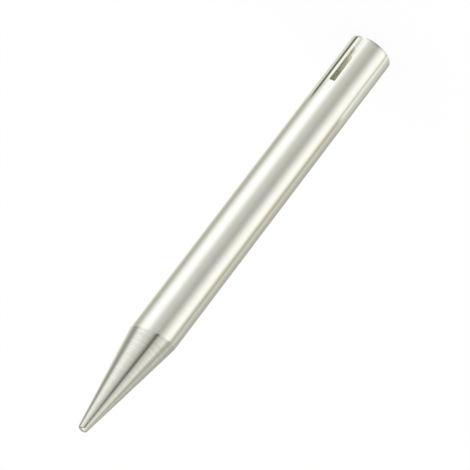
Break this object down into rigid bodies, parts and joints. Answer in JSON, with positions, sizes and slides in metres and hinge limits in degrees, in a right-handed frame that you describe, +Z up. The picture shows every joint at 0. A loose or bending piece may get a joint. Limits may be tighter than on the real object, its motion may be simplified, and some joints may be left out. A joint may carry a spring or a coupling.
{
  "type": "soldering iron tip",
  "caption": "Slip-on soldering tip: bright plated tube with a blind bore, a saw slot in its tail and a long blunt cone.",
  "frame": {"origin": "on the surface the tip stands on, at the middle of its open tail", "axes": "+Z up along the tip's axis, from the tail rim to the point, with the saw slot towards -Y"},
  "size_m": [0.0042, 0.0042, 0.0442],
  "materials": {
    "bright_plating": "bright nickel-like plating, polished on the shank and satin turned on the cone"
  },
  "bodies": {
    "root": {"soldering_tip": "bright_plating"}
  },
  "joints": []
}
